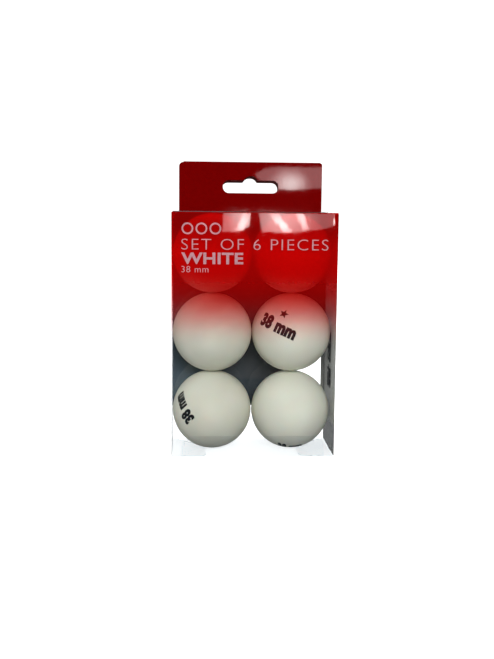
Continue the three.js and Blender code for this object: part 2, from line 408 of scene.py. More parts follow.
def make_side_print():
    """Grey ink over the right side panel, nearly solid and lightly streaked. It is darker at the
    foot, and turns red at the height where the front does."""
    material, tree = new_material("side_print")
    waves = sheet_waves(tree)
    clear = clear_body(tree)
    streaks = rough_noise(tree, 70, 4, 0, 1, by_axis=(1, 1, 0.1))
    grey = mix_colours(tree, streaks, (0.38, 0.38, 0.35, 1), (0.5, 0.5, 0.465, 1))
    foot = by_height(tree, SIDE_PRINT_FOOT - SIDE_FOOT_BLEND, SIDE_PRINT_FOOT, 0, 1)
    grey = mix_colours(tree, foot, (0.02, 0.022, 0.02, 1), grey)
    ink = by_height(tree, PRINT_NONE, PRINT_FULL, 0, 1)
    colour = add(tree, "BsdfDiffuse", {"Color": mix_colours(tree, ink, grey, (0.55, 0.004, 0.004, 1))})
    cover = 0.94
    body = mix_shaders(tree, cover, clear, colour.outputs[0])
    roughness = rough_noise(tree, 300, 3, 0.08, 0.16)
    finish_material(tree, gloss_over(tree, body, SIDE_GLOSS, roughness, waves))
    return material


def make_header_print():
    """The header's dark red: solid, glossy, and faintly mottled."""
    material, tree = new_material("header_print")
    waves = sheet_waves(tree)
    mottle = rough_noise(tree, 700, 3, 0, 1)
    red = mix_colours(tree, mottle, (0.145, 0.0003, 0.0004, 1), (0.165, 0.0004, 0.0005, 1))
    colour = add(tree, "BsdfDiffuse", {"Color": red})
    roughness = rough_noise(tree, 250, 3, 0.02, 0.035)
    finish_material(tree, gloss_over(tree, colour.outputs[0], HEADER_GLOSS, roughness, waves))
    return material


def make_header_shaded_inside():
    """The inside of the folded header, where the ink is seen from behind: its dark red is painted shade."""
    material, tree = new_material("header_inside")
    mottle = rough_noise(tree, 700, 3, 0, 1)
    red = mix_colours(tree, mottle, (0.02, 0.001, 0.001, 1), (0.035, 0.002, 0.002, 1))
    surface = add(tree, "BsdfPrincipled", {"Base Color": red, "Roughness": 0.4, "Specular IOR Level": 0.2})
    finish_material(tree, surface.outputs[0])
    return material


def finish_grained(tree, colour, grain, strength, depth, inputs):
    """A solid surface with a fine grain in relief."""
    bump = add(tree, "Bump", {"Height": grain, "Strength": strength, "Distance": depth})
    surface = add(tree, "BsdfPrincipled", {"Base Color": colour, "Normal": bump.outputs[0], **inputs})
    finish_material(tree, surface.outputs[0])


def make_silver():
    """Silver ink: pinkish, slightly metallic, with a fine grain."""
    material, tree = new_material("silver_ink")
    grain = rough_noise(tree, 2500, 2, 0, 1)
    colour = mix_colours(tree, grain, (0.43, 0.23, 0.26, 1), (0.58, 0.34, 0.38, 1))
    roughness = rough_noise(tree, 1200, 2, 0.35, 0.55)
    finish_grained(tree, colour, grain, 0.15, 0.01 * MM, {"Metallic": 0.15, "Roughness": roughness})
    return material


def make_black_ink():
    material, tree = new_material("black_ink")
    grain = rough_noise(tree, 1800, 3, 0, 1)
    colour = mix_colours(tree, grain, (0.004, 0.0045, 0.005, 1), (0.016, 0.017, 0.019, 1))
    finish_grained(tree, colour, grain, 0.2, 0.01 * MM, {"Roughness": 0.6, "Specular IOR Level": 0.05})
    return material


def make_ball_shell(name, dark, light):
    """Celluloid: matt from tumbling, faintly uneven in tone, and a little translucent."""
    material, tree = new_material(name)
    tone = rough_noise(tree, 70, 4, 0, 1)
    colour = mix_colours(tree, tone, dark, light)
    grain = rough_noise(tree, 2200, 3, 0, 1)
    roughness = rough_noise(tree, 400, 3, 0.42, 0.6)
    celluloid = {
        "Roughness": roughness,
        "Subsurface Weight": 0.12,
        "Subsurface Scale": 0.6 * MM,
        "Specular IOR Level": 0.3,
    }
    finish_grained(tree, colour, grain, 0.25, 0.02 * MM, celluloid)
    return material


def make_weld():
    """The lapped seam inside a ball, rougher and yellower than the shell."""
    material, tree = new_material("weld_celluloid")
    grain = rough_noise(tree, 900, 4, 0, 1)
    colour = mix_colours(tree, grain, (0.6, 0.56, 0.42, 1), (0.72, 0.69, 0.56, 1))
    finish_grained(tree, colour, grain, 0.4, 0.05 * MM, {"Roughness": 0.65})
    return material


def make_floor_material(strength):
    """A pale floor lit from inside, as a light table is."""
    material, tree = new_material("floor")
    grain = rough_noise(tree, 30, 3, 0, 1)
    colour = mix_colours(tree, grain, (0.88, 0.88, 0.88, 1), (0.92, 0.92, 0.92, 1))
    top = add(tree, "BsdfDiffuse", {"Color": colour})
    glow = add(tree, "Emission", {"Color": (1, 1, 1, 1), "Strength": strength})
    finish_material(tree, add(tree, "AddShader", {0: top.outputs[0], 1: glow.outputs[0]}).outputs[0])
    return material


def make_glow(name, colour, strength):
    material, tree = new_material(name)
    finish_material(tree, add(tree, "Emission", {"Color": (*colour, 1), "Strength": strength}).outputs[0])
    return material


clear_sheet = make_clear_sheet("clear_sheet", GLOSS, HAZE)
# For the ends, which are seen nearly edge on, and for the inner faces of the sides and creases
clear_end = make_clear_sheet("clear_end", END_GLOSS, END_HAZE)
cut_edge = make_cut_edge()
front_print = make_front_print()
back_print = make_back_ink_and_painted_light()
side_print = make_side_print()
header_print = make_header_print()
header_inside = make_header_shaded_inside()
silver_ink = make_silver()
black_ink = make_black_ink()
ball_shells_lit_and_shaded = {  # the left column's balls are painted darker than the right's: painted shade, standing in for less light on that side
    "left": make_ball_shell("ball_shell_dull", (0.68, 0.675, 0.57, 1), (0.74, 0.735, 0.63, 1)),
    "right": make_ball_shell("ball_shell_bright", (0.76, 0.76, 0.65, 1), (0.82, 0.82, 0.71, 1)),
}
weld_celluloid = make_weld()


# ---------------------------------------------------------------- mesh helpers


def mesh_object(name, bm, materials):
    mesh = bpy.data.meshes.new(name)
    bm.to_mesh(mesh)
    bm.free()
    for material in materials:
        mesh.materials.append(material)
    piece = bpy.data.objects.new(name, mesh)
    bpy.context.scene.collection.objects.link(piece)
    return piece


def settle(piece, body, slot, *nodes):
    """Puts a finished piece on its body, and hides the CAD nodes that it stands for."""
    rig.ride(piece, body)
    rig.slot(piece, slot)
    if nodes:
        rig.replaces(piece, *nodes)


def arc(centre, radius, start, end, steps=8):
    """Points on an arc, with angles in degrees."""
    angles = [math.radians(start + (end - start) * i / steps) for i in range(steps + 1)]
    return [(centre[0] + radius * math.cos(a), centre[1] + radius * math.sin(a)) for a in angles]


def rectangle(low_u, low_v, high_u, high_v):
    return [(low_u, low_v), (high_u, low_v), (high_u, high_v), (low_u, high_v)]


def with_steps(loop, pitch):
    """The same closed loop, with no side longer than pitch."""
    points = []
    for (u0, v0), (u1, v1) in zip(loop, loop[1:] + loop[:1]):
        length = math.hypot(u1 - u0, v1 - v0)
        if length < SAME_PLACE:
            continue
        steps = max(1, math.ceil(length / pitch))
        points += [(u0 + (u1 - u0) * i / steps, v0 + (v1 - v0) * i / steps) for i in range(steps)]
    return points


def is_inside(u, v, loop):
    inside = False
    for (u0, v0), (u1, v1) in zip(loop, loop[1:] + loop[:1]):
        if (v0 > v) != (v1 > v) and u < (u1 - u0) * (v - v0) / (v1 - v0) + u0:
            inside = not inside
    return inside


def fill_points(loops, pitch):
    """Evenly spaced points inside the outline and outside its holes, clear of every edge."""
    edge_points = np.array([p for loop in loops for p in loop])
    low, high = edge_points.min(0), edge_points.max(0)
    columns = max(1, int((high[0] - low[0]) / pitch))
    rows = max(1, int((high[1] - low[1]) / pitch))
    found = []
    for i in range(1, columns):
        for j in range(1, rows):
            u = low[0] + (high[0] - low[0]) * i / columns
            v = low[1] + (high[1] - low[1]) * j / rows
            nearest = np.min(np.hypot(edge_points[:, 0] - u, edge_points[:, 1] - v))
            if nearest < pitch * 0.5 or not is_inside(u, v, loops[0]):
                continue
            if not any(is_inside(u, v, hole) for hole in loops[1:]):
                found.append((u, v))
    return found


def cut_sheet(name, outline, place, materials, holes=(), pitch=2.5 * MM):
    """A closed thin sheet cut to an outline. place(u, v, w) gives the point at (u, v) on the
    outline and w into the sheet from its outer face. Materials are for outer, inner and edge."""
    loops = [with_steps(loop, pitch) for loop in (outline, *holes)]
    points = [p for loop in loops for p in loop] + fill_points(loops, pitch)
    edges = []
    start = 0
    for loop in loops:
        count = len(loop)
        edges += [(start + i, start + (i + 1) % count) for i in range(count)]
        start += count
    flat = delaunay_2d_cdt([Vector(p) for p in points], edges, [], 0, 1e-9)
    corners, triangles = flat[0], flat[2]
    kept = []
    for triangle in triangles:
        u = sum(corners[i].x for i in triangle) / 3
        v = sum(corners[i].y for i in triangle) / 3
        if is_inside(u, v, loops[0]) and not any(is_inside(u, v, hole) for hole in loops[1:]):
            kept.append(triangle)

    bm = bmesh.new()
    outer = [bm.verts.new(place(c.x, c.y, 0)) for c in corners]
    inner = [bm.verts.new(place(c.x, c.y, SHEET)) for c in corners]
    uses = {}
    for triangle in kept:
        face = bm.faces.new([outer[i] for i in triangle])
        face.smooth = True
        face = bm.faces.new([inner[i] for i in reversed(triangle)])
        face.material_index = 1
        face.smooth = True
        for i, j in zip(triangle, (*triangle[1:], triangle[0])):
            uses[frozenset((i, j))] = uses.get(frozenset((i, j)), []) + [(i, j)]
    for rim in (pairs[0] for pairs in uses.values() if len(pairs) == 1):
        i, j = rim
        wall = bm.faces.new([outer[j], outer[i], inner[i], inner[j]])
        wall.material_index = 2
        for edge in wall.edges:
            edge.smooth = False
    bmesh.ops.delete(bm, geom=[v for v in bm.verts if not v.link_faces], context="VERTS")
    bmesh.ops.recalc_face_normals(bm, faces=bm.faces)
    return mesh_object(name, bm, materials)


def stretch(start, end, steps):
    return [start + (end - start) * i / steps for i in range(steps + 1)]


def grid_sheet(name, columns, rows, place, materials):
    """A closed thin sheet over every (u, v) of a grid, with place and materials as in cut_sheet."""
    bm = bmesh.new()
    layers = [[[bm.verts.new(place(u, v, w)) for v in rows] for u in columns] for w in (0, SHEET)]
    outer, inner = layers
    last_column, last_row = len(columns) - 1, len(rows) - 1
    for index, layer in enumerate(layers):
        for i in range(last_column):
            for j in range(last_row):
                face = bm.faces.new([layer[i][j], layer[i + 1][j], layer[i + 1][j + 1], layer[i][j + 1]])
                face.smooth = True
                face.material_index = index
    rim = [((i, j), (i + 1, j)) for i in range(last_column) for j in (0, last_row)]
    rim += [((i, j), (i, j + 1)) for i in (0, last_column) for j in range(last_row)]
    for (i, j), (k, m) in rim:
        wall = bm.faces.new([outer[i][j], outer[k][m], inner[k][m], inner[i][j]])
        wall.material_index = 2
        for edge in wall.edges:
            edge.smooth = False
    bmesh.ops.recalc_face_normals(bm, faces=bm.faces)
    return mesh_object(name, bm, materials)


def half_turn(point):
    """The bottom end is the top end, turned half a turn about the pack's middle."""
    return Vector((point.x, 2 * MIDDLE - point.y, HEIGHT - point.z))


def unturned(point):
    return point


# ---------------------------------------------------------------- carton walls


def sway(u, v, seed):
    """A small smooth unevenness, from -1 to 1, with waves about 30 mm long."""
    return noise.noise(Vector((u * 34, v * 34, seed)))


def bow(x, z, seed):
    """How far a panel's face lies inside its flat: most in the middle, with slight waves."""
    across = 1 - (x / HALF_WIDTH) ** 2
    along = 1 - (2 * z / HEIGHT - 1) ** 4
    edge_fade = max(0, across * along)
    return 0.035 * MM + edge_fade * (0.03 + 0.02 * sway(x, z, seed)) * MM


def around_corner(u, limit):
    """Runs along a panel and round the crease at each end: (along, inwards, turn angle)."""
    flat = limit - CREASE
    if abs(u) <= flat:
        return u, 0, 0
    turn = min((abs(u) - flat) / CREASE, math.pi / 2)
    side = math.copysign(1, u)
    return side * (flat + CREASE * math.sin(turn)), CREASE * (1 - math.cos(turn)), side * turn


def wall_place(outer_y, inwards, seed):
    """For the front or back panel, whose two vertical creases belong to it."""

    def place(u, v, w):
        x, depth, turn = around_corner(u, HALF_WIDTH)
        x -= w * math.sin(turn)
        depth += w * math.cos(turn) + bow(x, v, seed) * math.cos(turn) ** 2
        return Vector((x, outer_y + inwards * depth, v))

    return place


def side_place(side):
    """For a side panel, which bows in slightly. side is -1 for the left and 1 for the right."""

    def place(u, v, w):
        fade = max(0, 1 - ((u - MIDDLE) / (BACK - MIDDLE)) ** 2)
        inset = fade * (0.06 + 0.03 * sway(u, v, side)) * MM
        return Vector((side * (HALF_WIDTH - inset - w), u, v))

    return place


FRONT_SEED = 3.1
BACK_SEED = 8.4
front_place = wall_place(FRONT, 1, FRONT_SEED)
back_place = wall_place(BACK, -1, BACK_SEED)


def make_walls():
    flat = HALF_WIDTH - CREASE
    end = flat + CREASE * math.pi / 2
    columns = stretch(-end, -flat, 5)[:-1] + stretch(-flat, flat, 34) + stretch(flat, end, 5)[1:]
    rows = stretch(front_low.z, front_high.z, 50)
    looks = [front_print, clear_sheet, front_print]
    front = grid_sheet("front_panel_sheet", columns, rows, front_place, looks)
    settle(front, "carton", "faded_print", "front_panel")
    rows = stretch(back_low.z, back_high.z, 50)
    looks = [back_print, clear_sheet, back_print]
    back = grid_sheet("back_panel_sheet", columns, rows, back_place, looks)
    settle(back, "carton", "dark_print", "back_panel")
    for node, side, look in (("left_side_panel", -1, clear_sheet), ("right_side_panel", 1, side_print)):
        low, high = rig.box(node)
        columns = stretch(FRONT + CREASE, BACK - CREASE, 16)
        rows = stretch(low.z, high.z, 50)
        panel = grid_sheet(node + "_sheet", columns, rows, side_place(side), [look, clear_end, look])
        settle(panel, "carton", "clear_sheet", node)


def make_glue_flap():
    outline = [
        (glue_low.x, glue_low.z),
        (glue_high.x, glue_low.z + GLUE_TAPER),
        (glue_high.x, glue_high.z - GLUE_TAPER),
        (glue_low.x, glue_high.z),
    ]
    flap = cut_sheet(
        "glue_flap_sheet",
        outline,
        lambda u, v, w: Vector((u, glue_high.y - w, v)),
        [clear_sheet, clear_sheet, cut_edge],
    )
    settle(flap, "carton", "clear_sheet", "glue_flap")


# ---------------------------------------------------------------- header


def slot_outline(slip=Vector((0, 0))):
    low = HEADER_TOP - SLOT_DROP
    high = low + SLOT_HEIGHT
    end = SLOT_WIDTH / 2 - SLOT_CORNER
    points = arc((end, low + SLOT_CORNER), SLOT_CORNER, -90, 0)
    points += arc((end, high - SLOT_CORNER), SLOT_CORNER, 0, 90)
    flank = []
    for t in stretch(0, 1, 8):
        across = BUMP_BASE / 2 * (1 - t) ** 3 + 3 * BUMP_TOP * t * (1 - t)
        flank.append((across, BUMP_HEIGHT * t * t * (3 - 2 * t)))
    points += [(u, high + v) for u, v in flank]
    points += [(-u, high + v) for u, v in flank[-2::-1]]
    points += arc((-end, high - SLOT_CORNER), SLOT_CORNER, 90, 180)
    points += arc((-end, low + SLOT_CORNER), SLOT_CORNER, 180, 270)
    return [(u + slip.x, v + slip.y) for u, v in points]


def header_outline(low):
    high = HEADER_TOP - FOLD_RADIUS
    left, right = HEADER_CORNER_LEFT, HEADER_CORNER_RIGHT
    points = [(-HEADER_HALF, low), (HEADER_HALF, low)]
    points += arc((HEADER_HALF - right, high - right), right, 0, 90)
    points += arc((left - HEADER_HALF, high - left), left, 90, 180)
    return points


def make_header():
    front_ply = cut_sheet(
        "header_front_sheet",
        header_outline(HEIGHT),
        lambda u, v, w: Vector((u, header_low.y + w, v)),
        [header_print, header_inside, header_inside],
        holes=[slot_outline()],
        pitch=1.6 * MM,
    )
    settle(front_ply, "carton", "red_header", "header_front_ply")
    rear_ply = cut_sheet(
        "header_rear_sheet",
        header_outline(rear_low.z),
        lambda u, v, w: Vector((u, rear_high.y - w, v)),
        [header_print, header_inside, header_inside],
        holes=[slot_outline(SLOT_SLIP)],
        pitch=1.6 * MM,
    )
    settle(rear_ply, "carton", "red_header", "header_rear_ply")

    centre_y = header_low.y + FOLD_RADIUS
    centre_z = HEADER_TOP - FOLD_RADIUS

    def fold_place(u, v, w):
        angle = v / FOLD_RADIUS
        reach = FOLD_RADIUS - w
        return Vector((u, centre_y - reach * math.cos(angle), centre_z + reach * math.sin(angle)))

    columns = stretch(HEADER_CORNER_LEFT - HEADER_HALF, HEADER_HALF - HEADER_CORNER_RIGHT, 30)
    rows = stretch(0, math.pi * FOLD_RADIUS, 10)
    looks = [header_print, header_inside, header_inside]
    fold = grid_sheet("header_fold", columns, rows, fold_place, looks)
    settle(fold, "carton", "red_header")


# ---------------------------------------------------------------- ends


def crease_place(corner, along, across, up, turn, sweep=90):
    """Round a crease. corner is the arc's centre at u = 0, along its direction, and the arc
    starts at across and turns towards up."""

    def place(u, v, w):
        angle = math.radians(sweep) * v
        reach = CREASE - w
        offset = across * (reach * math.cos(angle)) + up * (reach * math.sin(angle))
        return turn(corner + along * u + offset)

    return place


def make_crease(name, half_length, place, fixed, moving, look):
    """A bent strip that joins two panels and bends with their joint. v runs from 0 to 1 round it."""
    columns = stretch(-half_length, half_length, max(2, int(2 * half_length / (2.5 * MM))))
    strip = grid_sheet(name, columns, stretch(0, 1, 6), place, [look, clear_end, look])
    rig.blend(strip, fixed, moving, start=place(0, 0, SHEET / 2), end=place(0, 1, SHEET / 2))
    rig.slot(strip, "clear_sheet")


def make_lid(end, turn):
    low, high = top_lid_low, top_lid_high

    def place(u, v, w):
        fade = (1 - (u / HALF_WIDTH) ** 2) * max(0, 1 - ((v - MIDDLE) / (BACK - MIDDLE)) ** 2)
        sag = fade * (0.03 + 0.015 * sway(u, v, 5)) * MM
        return turn(Vector((u, v, HEIGHT - w - sag)))

    outline = rectangle(low.x, low.y, high.x, high.y)
    lid = cut_sheet(f"{end}_lid_sheet", outline, place, [clear_end, clear_end, clear_end])
    settle(lid, f"{end}_lid", "clear_sheet", f"{end}_lid")
    corner = Vector((0, low.y, HEIGHT - CREASE))
    place = crease_place(corner, ALONG_X, Vector((0, -1, 0)), ALONG_Z, turn)
    look = front_print if end == "top" else clear_end  # the front's print runs round the top crease
    make_crease(f"{end}_lid_crease", high.x, place, "carton", f"{end}_lid", look)


def make_tuck(end, turn):
    half = tuck_high.x
    fold_y = top_lid_high.y + CREASE
    length = (HEIGHT - tuck_low.z) / math.cos(TUCK_LEAN)
    inner = half - TUCK_CORNER
    outline = [(-half, -CREASE)]
    outline += arc((-inner, -length + TUCK_CORNER), TUCK_CORNER, 180, 270)
    outline += arc((inner, -length + TUCK_CORNER), TUCK_CORNER, 270, 360)
    outline += [(half, -CREASE)]
    cosine, sine = math.cos(TUCK_LEAN), math.sin(TUCK_LEAN)

    def place(u, v, w):
        return turn(Vector((u, fold_y + v * sine - w * cosine, HEIGHT + v * cosine + w * sine)))

    flap = cut_sheet(f"{end}_tuck_sheet", outline, place, [clear_sheet, clear_sheet, cut_edge])
    settle(flap, f"{end}_tuck", "clear_sheet", f"{end}_tuck_flap")
    corner = Vector((0, top_lid_high.y, HEIGHT - CREASE))
    place = crease_place(corner, ALONG_X, ALONG_Z, ALONG_Y, turn, TUCK_CREASE_TURN)
    make_crease(f"{end}_tuck_crease", half, place, f"{end}_lid", f"{end}_tuck", clear_end)


def make_dust_flaps(end, turn):
    length = dust_high.x - dust_low.x
    for name, side in (("left", -1), ("right", 1)):
        root = -dust_low.x
        tip = root - length
        outline = [
            (side * root, dust_low.y),
            (side * root, dust_high.y),
            (side * (tip + DUST_CORNER), dust_high.y),
            (side * (tip + 0.3 * DUST_CORNER), dust_high.y - 0.3 * DUST_CORNER),
            (side * tip, dust_high.y - DUST_CORNER),
            (side * tip, dust_low.y + length),
        ]

        def place(u, v, w):
            return turn(Vector((u, v, dust_high.z - w)))

        flap = cut_sheet(f"{end}_dust_{name}_sheet", outline, place, [clear_end, clear_end, cut_edge])
        settle(flap, f"{end}_dust_{name}", "clear_sheet", f"{end}_dust_flap_{name}")
        middle = (dust_low.y + dust_high.y) / 2
        corner = Vector((side * (HALF_WIDTH - CREASE), middle, dust_high.z - CREASE))
        place = crease_place(corner, ALONG_Y, Vector((side, 0, 0)), ALONG_Z, turn)
        half = (dust_high.y - dust_low.y) / 2
        make_crease(f"{end}_dust_{name}_crease", half, place, "carton", f"{end}_dust_{name}", clear_end)


# ---------------------------------------------------------------- balls


def seam_frame(ball):
    """A ball's centre and the axis of its seam, from the weld band in the CAD model."""
    band = frame["nodes"][ball + "_weld_band"]
    points = np.array([v.co for v in band.data.vertices])
    centre = points.mean(0)
    axis = np.linalg.svd(points - centre)[2][2]
    shell_low, shell_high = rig.box(ball + "_shell_a")
    towards = (np.array(shell_low) + np.array(shell_high)) / 2 - centre
    if axis @ towards < 0:
        axis = -axis
    return Vector(centre), Vector(axis)


def half_profile(sink):
    """(distance from the axis, height over the seam) from the outside pole to the inside. The lip
    at the seam is sunk by sink."""
    steps = 30
    lip_steps = 4
    lip_angle = math.asin(SEAM_LIP / BALL_RADIUS)
    points = []
    for i in range(steps + 1):
        angle = math.pi / 2 + (lip_angle - math.pi / 2) * i / steps
        points.append((BALL_RADIUS * math.cos(angle), BALL_RADIUS * math.sin(angle)))
    for i in range(1, lip_steps + 1):
        height = max(SEAM_LIP * (1 - i / lip_steps), RIM_GAP)
        sunk = sink * (i / lip_steps) ** 2
        points.append((math.sqrt(BALL_RADIUS ** 2 - height ** 2) - sunk, height))
    inner = BALL_RADIUS - BALL_WALL
    for i in range(steps // 2 + 1):
        angle = math.pi / 2 * i / (steps // 2)
        points.append((inner * math.cos(angle), max(inner * math.sin(angle), RIM_GAP)))
    points[0] = (0, points[0][1])
    points[-1] = (0, points[-1][1])
    return points


def half_ball(name, centre, axis, sink, shell):
    turn = ALONG_Z.rotation_difference(axis).to_matrix()
    segments = 96
    profile = half_profile(sink)
    bm = bmesh.new()
    rings = []
    for reach, height in profile:
        if reach == 0:
            rings.append([bm.verts.new(centre + turn @ Vector((0, 0, height)))])
            continue
        ring = []
        for k in range(segments):
            angle = 2 * math.pi * k / segments
            point = Vector((reach * math.cos(angle), reach * math.sin(angle), height))
            ring.append(bm.verts.new(centre + turn @ point))
        rings.append(ring)
    for first, second in zip(rings, rings[1:]):
        for k in range(segments):
            after = (k + 1) % segments
            if len(first) == 1:
                corners = [first[0], second[k], second[after]]
            elif len(second) == 1:
                corners = [first[k], second[0], first[after]]
            else:
                corners = [first[k], second[k], second[after], first[after]]
            bm.faces.new(corners).smooth = True
    for edge in bm.edges:
        heights = [(v.co - centre).dot(axis) for v in edge.verts]
        edge.smooth = not all(abs(height - RIM_GAP) < SAME_PLACE for height in heights)
    bmesh.ops.recalc_face_normals(bm, faces=bm.faces)
    return mesh_object(name, bm, [shell])


def make_balls():
    for row in ("bottom", "middle", "top"):
        for column in ("left", "right"):
            ball = f"ball_{row}_{column}"
            centre, axis = seam_frame(ball)
            sink = CLEAREST_SEAM if ball == "ball_bottom_left" else FAINT_SEAM
            for letter, side in (("a", 1), ("b", -1)):
                half = half_ball(f"{ball}_half_{letter}", centre, axis * side, sink, ball_shells_lit_and_shaded[column])
                settle(half, ball, "ball_shell", f"{ball}_shell_{letter}")
            band = frame["nodes"][ball + "_weld_band"]
            band.data.materials.clear()
            band.data.materials.append(weld_celluloid)


# ---------------------------------------------------------------- print


def letters(text, size, weight=0.0, spacing=1.0):
    """Plain lettering as a closed flat mesh in u and v, centred on its own middle."""
    curve = bpy.data.curves.new("letters", "FONT")
    curve.body = text
    curve.size = size
    curve.offset = weight * size
    curve.space_character = spacing
    curve.extrude = PRINT_DEPTH
    curve.resolution_u = 4
    source = bpy.data.objects.new("letters", curve)
    bpy.context.scene.collection.objects.link(source)
    bpy.context.view_layer.update()
    mesh = bpy.data.meshes.new_from_object(source.evaluated_get(bpy.context.evaluated_depsgraph_get()))
    bm = bmesh.new()
    bm.from_mesh(mesh)
    bpy.data.objects.remove(source)
    bpy.data.curves.remove(curve)
    bpy.data.meshes.remove(mesh)
    bmesh.ops.remove_doubles(bm, verts=bm.verts, dist=1e-6)
    low = [min(v.co[k] for v in bm.verts) for k in (0, 1)]
    high = [max(v.co[k] for v in bm.verts) for k in (0, 1)]
    for v in bm.verts:
        v.co.x -= (low[0] + high[0]) / 2
        v.co.y -= (low[1] + high[1]) / 2
    return bm


def flat_shape(loops):
    """A closed flat mesh of the given outline, less the holes that follow it."""
    bm = bmesh.new()
    layers = []
    for w in (-PRINT_DEPTH, PRINT_DEPTH):
        layers.append([[bm.verts.new((u, v, w)) for u, v in loop] for loop in loops])
    for layer in layers:
        rims = []
        for loop in layer:
            rims += [bm.edges.new((loop[i], loop[(i + 1) % len(loop)])) for i in range(len(loop))]
        bmesh.ops.triangle_fill(bm, edges=rims, use_beauty=True)
    for low_loop, high_loop in zip(*layers):
        for i in range(len(low_loop)):
            after = (i + 1) % len(low_loop)
            bm.faces.new([low_loop[i], low_loop[after], high_loop[after], high_loop[i]])
    return bm


def ring_loops(radius, width):
    return [arc((0, 0), radius, 0, 350, 35), arc((0, 0), radius - width, 0, 350, 35)]


def star_loop(radius):
    waist = radius * 0.44
    points = []
    for i in range(10):
        reach = radius if i % 2 == 0 else waist
        angle = math.radians(90 + 36 * i)
        points.append((reach * math.cos(angle), reach * math.sin(angle)))
    return points


def lay_print(name, bm, place, material, body, slot, longest=1.2 * MM):
    """Bends flat print onto a surface. place(u, v) gives a point on it and its outward normal."""
    bmesh.ops.triangulate(bm, faces=bm.faces)
    for _ in range(4):
        long_edges = [e for e in bm.edges if e.calc_length() > longest]
        if not long_edges:
            break
        bmesh.ops.subdivide_edges(bm, edges=long_edges, cuts=1, use_grid_fill=False)
        bmesh.ops.triangulate(bm, faces=bm.faces)
    for v in bm.verts:
        point, outward = place(v.co.x, v.co.y)
        v.co = point + outward * (PRINT_FACE if v.co.z > 0 else PRINT_UNDERSIDE)
    bmesh.ops.recalc_face_normals(bm, faces=bm.faces)
    settle(mesh_object(name, bm, [material]), body, slot)


def on_front(x, z):
    """Places print on the front panel, with its middle at (x, z)."""

    def place(u, v):
        return front_place(x + u, z + v, 0), Vector((0, -1, 0))

    return place


def on_side(y, z, outwards):
    """Places print that runs up the right side panel. outwards is 1 for the outer face, and -1
    for the inner one, where it reads backwards as if it showed through."""
    on_panel = side_place(1)
    depth = 0 if outwards > 0 else SHEET

    def place(u, v):
        return on_panel(y - v, z + u, depth), Vector((outwards, 0, 0))

    return place


def on_back(x, z):
    """Places print on the back panel, reading the right way from behind."""

    def place(u, v):
        return back_place(x - u, z + v, 0), Vector((0, 1, 0))

    return place


def on_ball(ball, facing, roll):
    """Places print on a ball, centred where facing points from the ball's middle."""
    centre = seam_frame(ball)[0]
    out = Vector(facing).normalized()
    right = ALONG_Z.cross(out).normalized()
    up = out.cross(right)
    spin = Matrix.Rotation(math.radians(roll), 3, out)
    right, up = spin @ right, spin @ up

    def place(u, v):
        distance = math.hypot(u, v)
        if distance < 1e-9:
            return centre + out * BALL_RADIUS, out
        way = (right * u + up * v) / distance
        angle = distance / BALL_RADIUS
        outward = out * math.cos(angle) + way * math.sin(angle)
        return centre + outward * BALL_RADIUS, outward

    return place


def letters_of_length(text, size, weight, spacing, length):
    """Lettering stretched or squeezed along its line to the length wanted."""
    bm = letters(text, size, weight, spacing)
    span = max(v.co.x for v in bm.verts) - min(v.co.x for v in bm.verts)
    for v in bm.verts:
        v.co.x *= length / span
    return bm


def make_front_lettering():
    for i in range(3):
        loops = ring_loops(2.7 * MM, 0.75 * MM)
        place = on_front((-31.2 + 6.4 * i) * MM, 108 * MM)
        lay_print(f"front_ring_{i}", flat_shape(loops), place, silver_ink, "carton", "faded_print")
    lines = [  # name, text, size, weight, spacing, the middle's x and z, and length
        ("front_line_wide", "SET OF 6 PIECES", 7.4, -0.012, 1.15, 0.0, 100.8, 68),
        ("front_line_bold", "WHITE", 7.2, 0.03, 1.05, -19.7, 94.3, 28.6),
        ("front_line_small", "38 mm", 4.3, -0.005, 1.1, -27.7, 89.3, 12.4),
    ]
    for name, text, size, weight, spacing, x, z, length in lines:
        bm = letters_of_length(text, size * MM, weight, spacing, length * MM)
        lay_print(name, bm, on_front(x * MM, z * MM), silver_ink, "carton", "faded_print")


def make_side_marks():
    """Two bold lines up the right side panel, which show through on its inner face."""
    size, length, middle = 6.4 * MM, 27 * MM, 44 * MM
    for face, outwards in (("outer", 1), ("inner", -1)):
        for line, (text, y) in enumerate((("SET OF 6", 3.4), ("38 mm", -2.2))):
            bm = letters_of_length(text, size, 0.07, 1.05, length)
            place = on_side(y * MM, middle, outwards)
            lay_print(f"side_line_{line}_{face}", bm, place, black_ink, "carton", "clear_sheet")


def make_back_marks():
    """A thin frame round a line of text, with a ring below it for each ball."""
    middle = -9
    frame_loops = []
    for inset in (0, 0.6):
        across, along = (24 - inset) * MM, (34 - inset) * MM
        frame_loops.append(with_steps(rectangle(-across, -along, across, along), 2 * MM))
    marks = [("back_frame", flat_shape(frame_loops), middle, 67, 3 * MM)]
    marks.append(("back_line", letters("SET OF 6", 6 * MM), middle, 88, 1.2 * MM))
    for column in range(2):
        for row in range(3):
            ring = flat_shape(ring_loops(4.4 * MM, 0.5 * MM))
            x = middle + 11 * (column - 0.5)
            marks.append((f"back_ring_{column}_{row}", ring, x, 50 + 11 * row, 1.2 * MM))
    for name, bm, x, z, longest in marks:
        lay_print(name, bm, on_back(x * MM, z * MM), silver_ink, "carton", "dark_print", longest)


def make_ball_marks():
    marks = [  # ball, the way it faces, roll in degrees, and length in mm
        ("ball_middle_right", (-0.43, -0.86, 0.27), -21, 20),
        ("ball_bottom_left", (-0.752, -0.641, 0.156), 133, 16),
        ("ball_bottom_right", (-0.03, -0.44, -0.9), 0, 12),
    ]
    for ball, facing, roll, length in marks:
        bm = letters_of_length("38 mm", 8.4 * MM, 0.065, 1.05, length * MM)
        lay_print(f"{ball}_size_mark", bm, on_ball(ball, facing, roll), black_ink, ball, "ball_shell")
    ball = "ball_middle_right"
    star = on_ball(ball, (-0.259, -0.794, 0.55), -24)
    lay_print(f"{ball}_star", flat_shape([star_loop(2.4 * MM)]), star, black_ink, ball, "ball_shell")


